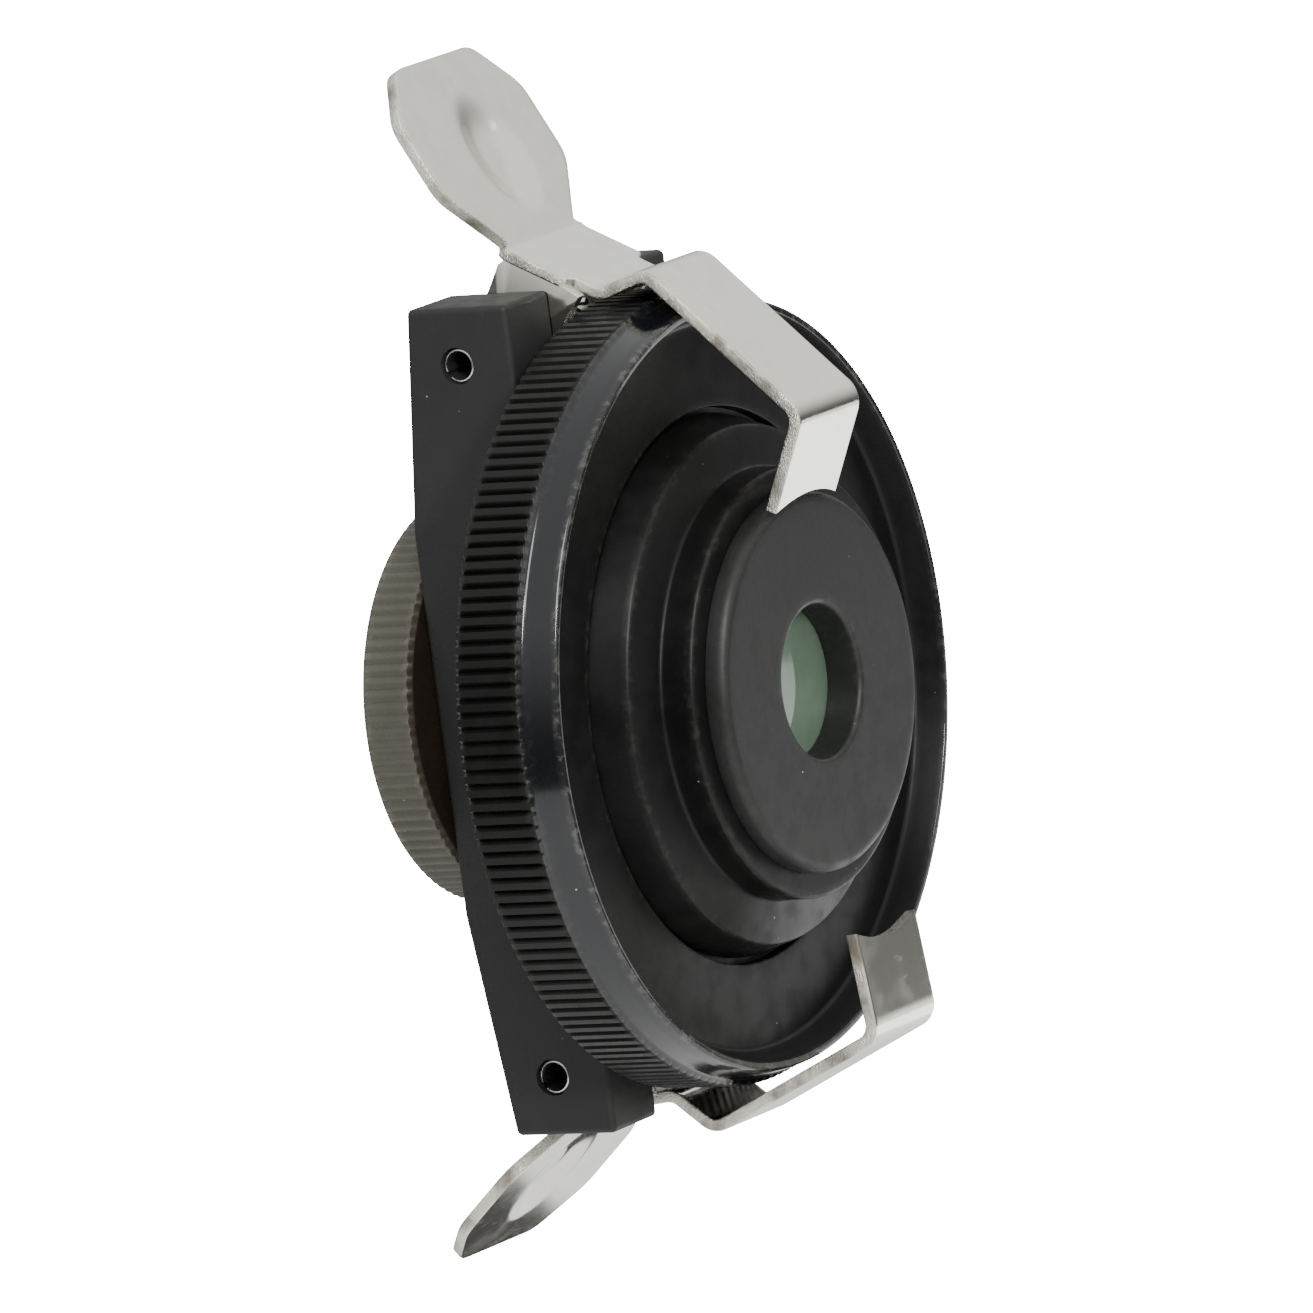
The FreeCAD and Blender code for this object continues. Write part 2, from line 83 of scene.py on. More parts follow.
class Shader:
    """A short way to write a node tree for one material."""

    def __init__(self, name: str) -> None:
        """Start an empty material.

        Args:
            name: the material's name.
        """
        self.material = bpy.data.materials.new(name)
        self.material.use_nodes = True
        self.nodes = self.material.node_tree.nodes
        self.links = self.material.node_tree.links
        self.surface = self.nodes["Principled BSDF"]
        self.place = self.nodes.new("ShaderNodeTexCoord").outputs["Object"]

    def put(self, socket: str, value: object) -> None:
        """Set a socket of the surface, or link an output to it.

        Args:
            socket: the socket's name.
            value: a number, a colour or an output.
        """
        target = self.surface.inputs[socket]
        if isinstance(value, Socket):
            self.links.new(value, target)
        else:
            target.default_value = value

    def noise(self, size_mm: float, detail: float = 4.0, stretch: Point = (1, 1, 1)) -> Socket:
        """Noise with features of a given size.

        Args:
            size_mm: size of the largest features.
            detail: how many finer layers are added.
            stretch: scale along X, Y and Z.

        Returns:
            The noise value, about 0 to 1.
        """
        scale = self.nodes.new("ShaderNodeMapping")
        scale.inputs["Scale"].default_value = [1 / (size_mm * MM) * s for s in stretch]
        self.links.new(self.place, scale.inputs["Vector"])
        noise = self.nodes.new("ShaderNodeTexNoise")
        noise.inputs["Scale"].default_value = 1.0
        noise.inputs["Detail"].default_value = detail
        self.links.new(scale.outputs["Vector"], noise.inputs["Vector"])
        return noise.outputs["Fac"]

    def cells(self, size_mm: float) -> Socket:
        """Scattered spots.

        Args:
            size_mm: size of the cell that each spot has.

        Returns:
            The distance to the nearest spot, in cells.
        """
        scale = self.nodes.new("ShaderNodeMapping")
        scale.inputs["Scale"].default_value = [1 / (size_mm * MM)] * 3
        self.links.new(self.place, scale.inputs["Vector"])
        cell = self.nodes.new("ShaderNodeTexVoronoi")
        cell.inputs["Scale"].default_value = 1.0
        self.links.new(scale.outputs["Vector"], cell.inputs["Vector"])
        return cell.outputs["Distance"]

    def ramp(self, value: Socket, low: float, high: float,
             out: Pair = (0.0, 1.0)) -> Socket:
        """Spread a value between two limits to a new pair of limits.

        Args:
            value: the value to spread.
            low: the value that gives the first new limit.
            high: the value that gives the second.
            out: the new limits.

        Returns:
            The spread value.
        """
        spread = self.nodes.new("ShaderNodeMapRange")
        spread.interpolation_type = "SMOOTHSTEP"
        self.links.new(value, spread.inputs["Value"])
        for name, amount in (("From Min", low), ("From Max", high), ("To Min", out[0]), ("To Max", out[1])):
            spread.inputs[name].default_value = amount
        return spread.outputs["Result"]

    def mix(self, amount: Socket, first: object, second: object) -> Socket:
        """Mix two colours, or two colour outputs.

        Args:
            amount: 0 for the first, 1 for the second.
            first: a colour or an output.
            second: a colour or an output.

        Returns:
            The mixed colour.
        """
        blend = self.nodes.new("ShaderNodeMix")
        blend.data_type = "RGBA"
        self.links.new(amount, blend.inputs["Factor"])
        for name, side in (("A", first), ("B", second)):
            target = [s for s in blend.inputs if s.name == name and s.type == "RGBA"][0]
            if isinstance(side, Socket):
                self.links.new(side, target)
            else:
                target.default_value = (*side, 1.0)
        return [s for s in blend.outputs if s.type == "RGBA"][0]

    def maths(self, work: str, first: object, second: object) -> Socket:
        """Work out one sum.

        Args:
            work: the sum's kind, such as MULTIPLY.
            first: a number or an output.
            second: a number or an output.

        Returns:
            The result.
        """
        node = self.nodes.new("ShaderNodeMath")
        node.operation = work
        for target, side in zip(node.inputs, (first, second)):
            if isinstance(side, Socket):
                self.links.new(side, target)
            else:
                target.default_value = side
        return node.outputs["Value"]

    def marked(self, name: str) -> Socket:
        """Read a number that the mesh carries at each point.

        Args:
            name: the number's name on the mesh.

        Returns:
            The number.
        """
        node = self.nodes.new("ShaderNodeAttribute")
        node.attribute_name = name
        return node.outputs["Fac"]

    def bump(self, height: Socket, depth_mm: float, strength: float = 1.0) -> None:
        """Add a relief to the surface.

        Args:
            height: the relief, 0 to 1.
            depth_mm: its height in mm.
            strength: how much of it shows.
        """
        node = self.nodes.new("ShaderNodeBump")
        node.inputs["Distance"].default_value = depth_mm * MM
        node.inputs["Strength"].default_value = strength
        self.links.new(height, node.inputs["Height"])
        before = self.surface.inputs["Normal"]
        if before.is_linked:
            self.links.new(before.links[0].from_socket, node.inputs["Normal"])
        self.links.new(node.outputs["Normal"], before)


@dataclass(frozen=True)
class Moulded:
    """Black moulded plastic or painted metal, with dust, grain and worn edges."""

    name: str
    colour: Point
    worn: Point
    rough: Pair
    grain_mm: float
    grain_depth_mm: float
    dust: float = 0.5
    specular: float = 0.5
    coat: float = 0.0

    def make(self) -> bpy.types.Material:
        """Build the material.

        Returns:
            The material: tone, worn edges, dust, gloss and grain.
        """
        s = Shader(self.name)
        s.put("Metallic", Coat.PAINT.value)
        cloud = s.ramp(s.noise(CLOUD_MM, 5.0), 0.35, 0.7)
        lighter = tuple(c * 1.12 + 0.0005 for c in self.colour)
        base = s.mix(cloud, self.colour, lighter)
        smear = s.ramp(s.noise(SMEAR_MM, 6.0), 0.3, 0.75)
        chips = s.ramp(s.noise(CHIP_MM, 6.0), 0.48, 0.66, (0.10, 0.75))
        wear = s.maths("MULTIPLY", s.marked("wear"), chips)
        base = s.mix(wear, base, self.worn)
        speck = s.ramp(s.cells(DUST_CELL_MM), 0.030, 0.055, (1.0, 0.0))
        rare = s.ramp(s.noise(DUST_PATCH_MM, 1.0), 0.56, 0.62)
        dust = s.maths("MULTIPLY", s.maths("MULTIPLY", speck, rare), self.dust)
        s.put("Base Color", s.mix(dust, base, DUST_COLOUR))
        rough = s.ramp(smear, 0.0, 1.0, self.rough)
        s.put("Roughness", s.maths("MAXIMUM", rough, s.maths("MULTIPLY", wear, 0.5)))
        s.put("Specular IOR Level", self.specular)
        s.put("Coat Weight", self.coat)
        s.put("Coat Roughness", 0.08)
        s.bump(s.noise(self.grain_mm, 3.0), self.grain_depth_mm)
        return s.material


@dataclass(frozen=True)
class Plated:
    """Bright plated or plain metal, with light scratches and smudges."""

    name: str
    colour: Point
    shade: Point
    rough: Pair
    scratch_depth_mm: float = 0.0015
    grain_depth_mm: float = 0.0
    grain_mm: float = 0.35

    def make(self) -> bpy.types.Material:
        """Build the material.

        Returns:
            The material: smudges, scratches along the metal and, if it has one, a torn grain.
        """
        s = Shader(self.name)
        s.put("Metallic", Coat.METAL.value)
        smudge = s.ramp(s.noise(SMUDGE_MM, 6.0), 0.4, 0.75)
        tone = s.mix(smudge, self.colour, self.shade)
        scuffs = s.ramp(s.noise(SCRATCH_MM, 3.0, (0.25, 6.0, 1.6)), 0.66, 0.70)
        s.put("Base Color", s.mix(s.maths("MULTIPLY", scuffs, 0.35), tone, self.shade))
        s.put("Roughness", s.ramp(smudge, 0.0, 1.0, self.rough))
        s.bump(scuffs, self.scratch_depth_mm)
        if self.grain_depth_mm:
            s.bump(s.noise(self.grain_mm, 6.0, (1.0, 2.5, 1.0)), self.grain_depth_mm)
        return s.material


@dataclass(frozen=True)
class Lens:
    """Coated glass over the dark inside of the loupe."""

    name: str
    tint: Point
    clear: float

    def make(self) -> bpy.types.Material:
        """Build the material.

        Returns:
            The material: tinted, coated glass with a slight haze.
        """
        s = Shader(self.name)
        haze = s.ramp(s.noise(HAZE_MM, 3.0), 0.3, 0.7)
        s.put("Base Color", s.mix(haze, self.tint, tuple(c * 0.86 for c in self.tint)))
        s.put("Roughness", s.ramp(haze, 0.0, 1.0, (0.03, 0.07)))
        s.put("Transmission Weight", self.clear)
        s.put("IOR", 1.52)
        s.put("Coat Weight", 0.6)
        s.put("Coat Tint", (0.75, 1.0, 0.82, 1.0))
        return s.material


@dataclass(frozen=True)
class Plain:
    """A dull even finish for the floor and the studio card."""

    name: str
    colour: Point

    def make(self) -> bpy.types.Material:
        """Build the material.

        Returns:
            The material.
        """
        s = Shader(self.name)
        s.put("Base Color", (*self.colour, 1.0))
        s.put("Roughness", 0.9)
        return s.material


class Finishes:
    """All the finishes of the loupe, made once."""

    def __init__(self) -> None:
        """Make every material."""
        self.block = Moulded("block_matt_black", (0.0170, 0.0175, 0.0168), (0.055, 0.055, 0.052),
                             (0.50, 0.62), 0.30, 0.004, 0.35, 0.20).make()
        self.cup = Moulded("cup_black", (0.0028, 0.0029, 0.0026), (0.05, 0.047, 0.042), (0.36, 0.48),
                           0.5, 0.003, 0.8, 0.19).make()
        self.cap = Moulded("cap_black", (0.0080, 0.0083, 0.0078), (0.05, 0.048, 0.044), (0.42, 0.55),
                           0.4, 0.004, 0.8, 0.32).make()
        self.band = Moulded("band_gloss_black", (0.0030, 0.0036, 0.0045), (0.10, 0.095, 0.085), (0.10, 0.18),
                            1.2, 0.0015, 0.8, 0.36, 0.25).make()
        self.olive = Moulded("eye_ring_olive_grey", (0.057, 0.055, 0.040), (0.13, 0.125, 0.095), (0.5, 0.64),
                             0.5, 0.005, 0.3, 0.35).make()
        self.chamfer = Moulded("eye_ring_brown_chamfer", (0.022, 0.016, 0.010), (0.045, 0.038, 0.024),
                               (0.4, 0.6), 0.5, 0.004, 0.2, 0.3).make()
        # Black anodised finish of the sleeve and cells, also used as painted shade inside the pivot pins'
        # bores.
        self.anodic_black_and_bore_shade = Moulded("anodic_black_and_pin_bore_shade", (0.010, 0.010, 0.0105), (0.08, 0.08, 0.08), (0.38, 0.52),
                                0.4, 0.004, 0.2, 0.4).make()
        self.nickel = Plated("bright_nickel", (0.74, 0.735, 0.665), (0.69, 0.68, 0.61), (0.12, 0.19)).make()
        self.sheared = Plated("sheared_nickel_edge", (0.72, 0.69, 0.61), (0.20, 0.185, 0.15), (0.25, 0.5),
                              0.01, 0.14, 0.22).make()
        self.steel = Plated("spring_steel", (0.72, 0.72, 0.70), (0.55, 0.55, 0.53), (0.24, 0.36)).make()
        self.brass = Plated("turned_brass", (0.42, 0.31, 0.16), (0.30, 0.22, 0.11), (0.28, 0.45)).make()
        self.window = Lens("coated_window", (0.155, 0.185, 0.150), 0.2).make()
        self.glass = Lens("lens_glass", (0.80, 0.88, 0.82), 0.9).make()


# ---------------------------------------------------------------- mesh helpers
def rounded(corners: Sequence[tuple[float, float, float, float]], steps: int = 4) -> Profile:
    """Round the corners of a closed outline.

    Args:
        corners: radius, forward, corner radius and wear of each corner, in mm.
        steps: points along each rounded corner.

    Returns:
        The outline's points with their wear.
    """
    out: Profile = []
    count = len(corners)
    for i, (r, f, bend, wear) in enumerate(corners):
        if bend <= 0:
            out.append((r, f, wear))
            continue
        here = Vector((r, f))
        before = Vector(corners[i - 1][:2])
        after = Vector(corners[(i + 1) % count][:2])
        run_in = (before - here).normalized()
        run_out = (after - here).normalized()
        half = math.acos(max(-1.0, min(1.0, run_in.dot(run_out)))) / 2
        reach = min(bend / max(math.tan(half), 1e-6), 0.49 * (before - here).length,
                    0.49 * (after - here).length)
        start, end = here + run_in * reach, here + run_out * reach
        for k in range(steps + 1):
            t = k / steps
            spot = start * (1 - t) ** 2 + here * (2 * t * (1 - t)) + end * t ** 2
            out.append((spot.x, spot.y, wear))
    return out


def refined(points: Profile, longest: float) -> Profile:
    """Split the long runs of a closed outline.

    Args:
        points: the outline.
        longest: the longest run to keep, in mm.

    Returns:
        The outline with points added; the added points carry no wear.
    """
    out: Profile = []
    for i, here in enumerate(points):
        after = points[(i + 1) % len(points)]
        out.append(here)
        length = math.hypot(after[0] - here[0], after[1] - here[1])
        parts = int(length / longest) + 1
        for k in range(1, parts):
            t = k / parts
            out.append((here[0] + (after[0] - here[0]) * t, here[1] + (after[1] - here[1]) * t, 0.0))
    return out


def new_object(name: str, mesh: bpy.types.Mesh, finishes: Sequence[bpy.types.Material]) -> bpy.types.Object:
    """Make an object and link it to the scene.

    Args:
        name: the object's name.
        mesh: its mesh.
        finishes: its materials, in the order of the mesh's material numbers.

    Returns:
        The object.
    """
    thing = bpy.data.objects.new(name, mesh)
    for finish in finishes:
        mesh.materials.append(finish)
    bpy.context.scene.collection.objects.link(thing)
    return thing


def build_mesh(name: str, points: list[Point], faces: list[tuple[int, ...]], groups: list[int],
               wear: list[float] | None = None, sharp_deg: float = 32.0) -> bpy.types.Mesh:
    """Make a smooth mesh with sharp edges kept.

    Args:
        name: the mesh's name.
        points: corners in mm.
        faces: corner numbers of each face.
        groups: material number of each face.
        wear: wear at each corner.
        sharp_deg: edges that turn more than this stay sharp.

    Returns:
        The mesh, in metres, with its normals pointing out.
    """
    mesh = bpy.data.meshes.new(name)
    mesh.from_pydata([tuple(c * MM for c in p) for p in points], [], faces)
    mesh.polygons.foreach_set("material_index", groups)
    mesh.polygons.foreach_set("use_smooth", [True] * len(faces))
    mark = mesh.attributes.new("wear", "FLOAT", "POINT")
    mark.data.foreach_set("value", wear or [0.0] * len(points))
    shape = bmesh.new()
    shape.from_mesh(mesh)
    bmesh.ops.recalc_face_normals(shape, faces=shape.faces)
    for edge in shape.edges:
        if len(edge.link_faces) == 2 and edge.calc_face_angle(0.0) > math.radians(sharp_deg):
            edge.smooth = False
    shape.to_mesh(mesh)
    shape.free()
    mesh.update()
    return mesh


def lathe(name: str, outline: Profile, columns: int,
          shape: Callable[[float, float, float], float] | None = None,
          group: Callable[[float, float], int] | None = None) -> bpy.types.Mesh:
    """Turn a closed outline about the optical axis.

    Args:
        name: the mesh's name.
        outline: radius, forward and wear of the outline's points.
        columns: steps round the axis.
        shape: gives the radius from the angle, radius and forward.
        group: gives the material number from radius and forward.

    Returns:
        The closed mesh.
    """
    rings: list[list[Point]] = []
    for c in range(columns):
        angle = TAU * c / columns
        reach = [shape(angle, r, f) if shape else r for r, f, _ in outline]
        rings.append([(real * math.cos(angle), -f, real * math.sin(angle))
                      for real, (_, f, _) in zip(reach, outline)])
    rows = len(outline)

    def row_group(_: int, k: int) -> int:
        """Give the material number of one run of the outline."""
        here, after = outline[k], outline[(k + 1) % rows]
        return group((here[0] + after[0]) / 2, (here[1] + after[1]) / 2) if group else 0

    return wrapped(name, rings, row_group, [w for _, _, w in outline])


def wrapped(name: str, rings: list[list[Point]], groups: Callable[[int, int], int],
            wear: list[float] | None = None) -> bpy.types.Mesh:
    """Skin closed rings of points and join the last ring to the first.

    Args:
        name: the mesh's name.
        rings: the rings, all with the same number of points.
        groups: material number from the ring and the point.
        wear: wear at each point of a ring.

    Returns:
        The closed mesh.
    """
    rows, count = len(rings[0]), len(rings)
    faces = [(i * rows + k, i * rows + (k + 1) % rows, (i + 1) % count * rows + (k + 1) % rows,
              (i + 1) % count * rows + k) for i in range(count) for k in range(rows)]
    marks = [groups(i, k) for i in range(count) for k in range(rows)]
    return build_mesh(name, [p for ring in rings for p in ring], faces, marks, wear * count if wear else None)


def loops(name: str, rings: list[list[Point]], groups: Callable[[int, int], int],
          wear: Callable[[int, int], float] | None = None, sharp_deg: float = 32.0) -> bpy.types.Mesh:
    """Skin closed rings of points, one after another, and close both ends.

    Args:
        name: the mesh's name.
        rings: the rings, all with the same number of points.
        groups: material number from the ring and the point; the ends are ring -1.
        wear: wear from the ring and the point.
        sharp_deg: edges that turn more than this stay sharp.

    Returns:
        The closed mesh.
    """
    size = len(rings[0])
    points = [p for ring in rings for p in ring]
    faces: list[tuple[int, ...]] = []
    marks: list[int] = []
    for i in range(len(rings) - 1):
        for k in range(size):
            n = (k + 1) % size
            faces.append((i * size + k, i * size + n, (i + 1) * size + n, (i + 1) * size + k))
            marks.append(groups(i, k))
    last = (len(rings) - 1) * size
    faces.append(tuple(range(size)))
    faces.append(tuple(last + k for k in reversed(range(size))))
    marks += [groups(-1, 0), groups(-1, 1)]
    levels = [wear(i, k) for i in range(len(rings)) for k in range(size)] if wear else None
    return build_mesh(name, points, faces, marks, levels, sharp_deg)


def smoothstep(low: float, high: float, value: float) -> float:
    """Go smoothly from 0 at low to 1 at high."""
    t = max(0.0, min(1.0, (value - low) / (high - low)))
    return t * t * (3 - 2 * t)


def span(node: str) -> tuple[float, float, float]:
    """A turned node's outer radius, front and back (forward), in mm."""
    low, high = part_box(node)
    return high.x / MM, -low.y / MM, -high.y / MM


# ---------------------------------------------------------------- knurled cup
@dataclass
class KnurledCup:
    """The cup: knurled band, smooth band, thin rim, inner wall, floor and hub."""

    ridges: int = 176
    groove_depth: float = 0.42
    steps: int = 8
    shoulder: float = 31.45
    rim: float = 30.8
    rim_inside: float = 30.25
    wall_foot: float = 29.2
    floor_rise: float = 0.25
    seat_gap: float = 22.3
    seat_drop: float = 0.8
    skirt: float = 29.6
    hub: float = 15.4
    hub_bore: float = 12.8
    knurl_long: float = 5.8
    floor_below_rim: float = 2.4
    floor_thick: float = 2.4
    rim_flare: float = 0.28
    groove_from: float = 0.24
    longest_run: float = 0.55

    def build(self, finishes: Finishes) -> bpy.types.Object:
        """Build the cup and put it on its body.

        Args:
            finishes: the finishes to use.

        Returns:
            The dressed cup.
        """
        radius, rim_plane, back = span("knurled_cup")
        knurl_front = back + self.knurl_long
        floor = rim_plane - self.floor_below_rim
        under = floor - self.floor_thick
        corners = [
            (self.hub_bore, floor - self.seat_drop, 0.1, 0), (self.seat_gap, floor - self.seat_drop, 0.1, 0),
            (self.seat_gap, floor + self.floor_rise, 0.15, 0.4), (self.wall_foot, floor, 0.5, 0),
            (self.rim_inside, rim_plane, 0.12, 0.5), (self.rim, rim_plane, 0.28, 0.6),
            (self.rim + self.rim_flare, rim_plane - 1.0, 0.6, 0),
            (self.shoulder, knurl_front + 0.12, 0.5, 0.1),
            (radius, knurl_front - 0.25, 0.25, 0.25), (radius, back, 0.12, 0.3), (self.skirt, back, 0.15, 0),
            (self.skirt, under, 0.4, 0), (self.hub, under, 0.4, 0), (self.hub, back, 0.2, 0),
            (self.hub_bore, back, 0.2, 0)]
        outline = refined(rounded(corners), self.longest_run)

        def ridge(angle: float, r: float, f: float) -> float:
            """Cut the grooves of the knurl.

            Args:
                angle: the angle round the axis.
                r: the plain radius.
                f: the distance forward.

            Returns:
                The radius with its groove.
            """
            if r < self.shoulder - 0.1 or f > knurl_front + 0.2:
                return r
            phase = (angle * self.ridges / TAU) % 1.0
            groove = smoothstep(self.groove_from, 0.5, 0.5 - abs(phase - 0.5)) if phase else 0.0
            ends = smoothstep(knurl_front + 0.05, knurl_front - 0.75, f)
            return r - self.groove_depth * groove * ends

        def part(r: float, f: float) -> int:
            """Tell the glossy band, 1, from the rest, 0."""
            return 1 if f > knurl_front - 0.1 and r > self.rim_inside - 0.1 else 0

        mesh = lathe("cup_shell", outline, self.ridges * self.steps, ridge, part)
        cup = new_object("cup_shell", mesh, (finishes.cup, finishes.band))
        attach(cup, "focus_cup")
        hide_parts("knurled_cup")
        return cup


# ---------------------------------------------------------------- seat and cap
@dataclass
class Front:
    """The stepped seat and the centre cap with the sight hole."""

    columns: int = 192
    foot: float = 21.8
    tier: float = 20.8
    tier_edge: float = -0.9
    seat: float = 17.3
    spigot: float = 12.0
    sleeve: float = 10.8
    bore: float = 8.9
    recess: float = 13.2
    sight: float = 6.1
    cap_edge: float = 1.25
    spigot_deep: float = 2.0
    sleeve_deep: float = 2.4
    recess_deep: float = 0.95
    longest_run: float = 0.6

    def seat_ring(self, finishes: Finishes) -> bpy.types.Object:
        """Build the two tiers.

        Args:
            finishes: the finishes to use.

        Returns:
            The dressed ring.
        """
        _, shelf, back = span("stepped_seat")
        corners = [
            (self.bore, shelf - self.spigot_deep, 0.05, 0), (self.spigot, shelf - self.spigot_deep, 0.05, 0),
            (self.spigot, shelf, 0.05, 0), (self.seat, shelf, 0.35, 0.3), (self.seat, 0.0, 0.35, 0.0),
            (self.tier, self.tier_edge, 0.4, 0.25), (self.foot, back + 0.15, 0.3, 0.1),
            (self.foot - 0.1, back, 0.05, 0), (self.recess, back, 0.1, 0),
            (self.recess, back + self.recess_deep, 0.1, 0), (self.sleeve, back + self.recess_deep, 0.05, 0),
            (self.sleeve, shelf - self.sleeve_deep, 0.05, 0), (self.bore, shelf - self.sleeve_deep, 0.05, 0)]
        mesh = lathe("seat_tiers", refined(rounded(corners), self.longest_run), self.columns)
        ring = new_object("seat_tiers", mesh, (finishes.cup,))
        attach(ring, "frame")
        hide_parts("stepped_seat")
        return ring

    def cap(self, finishes: Finishes) -> bpy.types.Object:
        """Build the centre disc with its rounded edge and sight hole.

        Args:
            finishes: the finishes to use.

        Returns:
            The dressed disc.
        """
        radius, face, back = span("centre_cap")
        _, shelf, _ = span("stepped_seat")
        corners = [
            (self.sight, back, 0.05, 0), (self.spigot, back, 0.05, 0), (self.spigot, shelf, 0.02, 0),
            (radius, shelf, 0.06, 0), (radius - 0.1, face, self.cap_edge, 0.12),
            (self.sight + 0.05, face, 0.5, 0.25)]
        mesh = lathe("cap_disc", refined(rounded(corners, 8), self.longest_run), self.columns)
        disc = new_object("cap_disc", mesh, (finishes.cap,))
        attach(disc, "frame")
        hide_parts("centre_cap")
        return disc


# ---------------------------------------------------------------- eye ring
@dataclass
class EyeRing:
    """The ribbed olive-grey ring behind the block."""

    ribs: int = 99
    steps: int = 10
    rib_depth: float = 0.20
    bore: float = 10.85
    counterbore: float = 12.2
    counterbore_deep: float = 1.05
    chamfer: float = 0.45
    back_edge: float = 0.5
    longest_run: float = 0.5

    def build(self, finishes: Finishes) -> bpy.types.Object:
        """Build the ring and put it on its body.

        Args:
            finishes: the finishes to use.

        Returns:
            The dressed ring.
        """
        radius, front, back = span("ribbed_eye_ring")
        corners = [
            (self.bore, front, 0.1, 0), (radius - self.chamfer, front, 0.15, 0.3),
            (radius, front - self.chamfer, 0.2, 0.8), (radius, back + self.back_edge, 0.35, 0.5),
            (radius - self.back_edge, back, 0.3, 0.3), (self.counterbore, back, 0.15, 0.2),
            (self.counterbore, back + self.counterbore_deep, 0.1, 0),
            (self.bore, back + self.counterbore_deep, 0.1, 0)]
        outline = refined(rounded(corners), self.longest_run)

        def rib(angle: float, r: float, _: float) -> float:
            """Shape the ribs.

            Args:
                angle: the angle round the axis.
                r: the plain radius.

            Returns:
                The radius with its rib.
            """
            if r < radius - 0.3:
                return r
            wave = 0.5 - 0.5 * math.cos(angle * self.ribs)
            return r - self.rib_depth * (1 - wave ** 0.7) * smoothstep(radius - 0.3, radius - 0.05, r)

        def part(r: float, f: float) -> int:
            """Tell the dark chamfer and bore, 1, from the ribs, 0."""
            return 1 if f > front - 0.35 or r < self.counterbore + 0.1 else 0

        mesh = lathe("eye_ring_shell", outline, self.ribs * self.steps, rib, part)
        ring = new_object("eye_ring_shell", mesh, (finishes.olive, finishes.chamfer))
        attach(ring, "eye_ring")
        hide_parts("ribbed_eye_ring")
        return ring


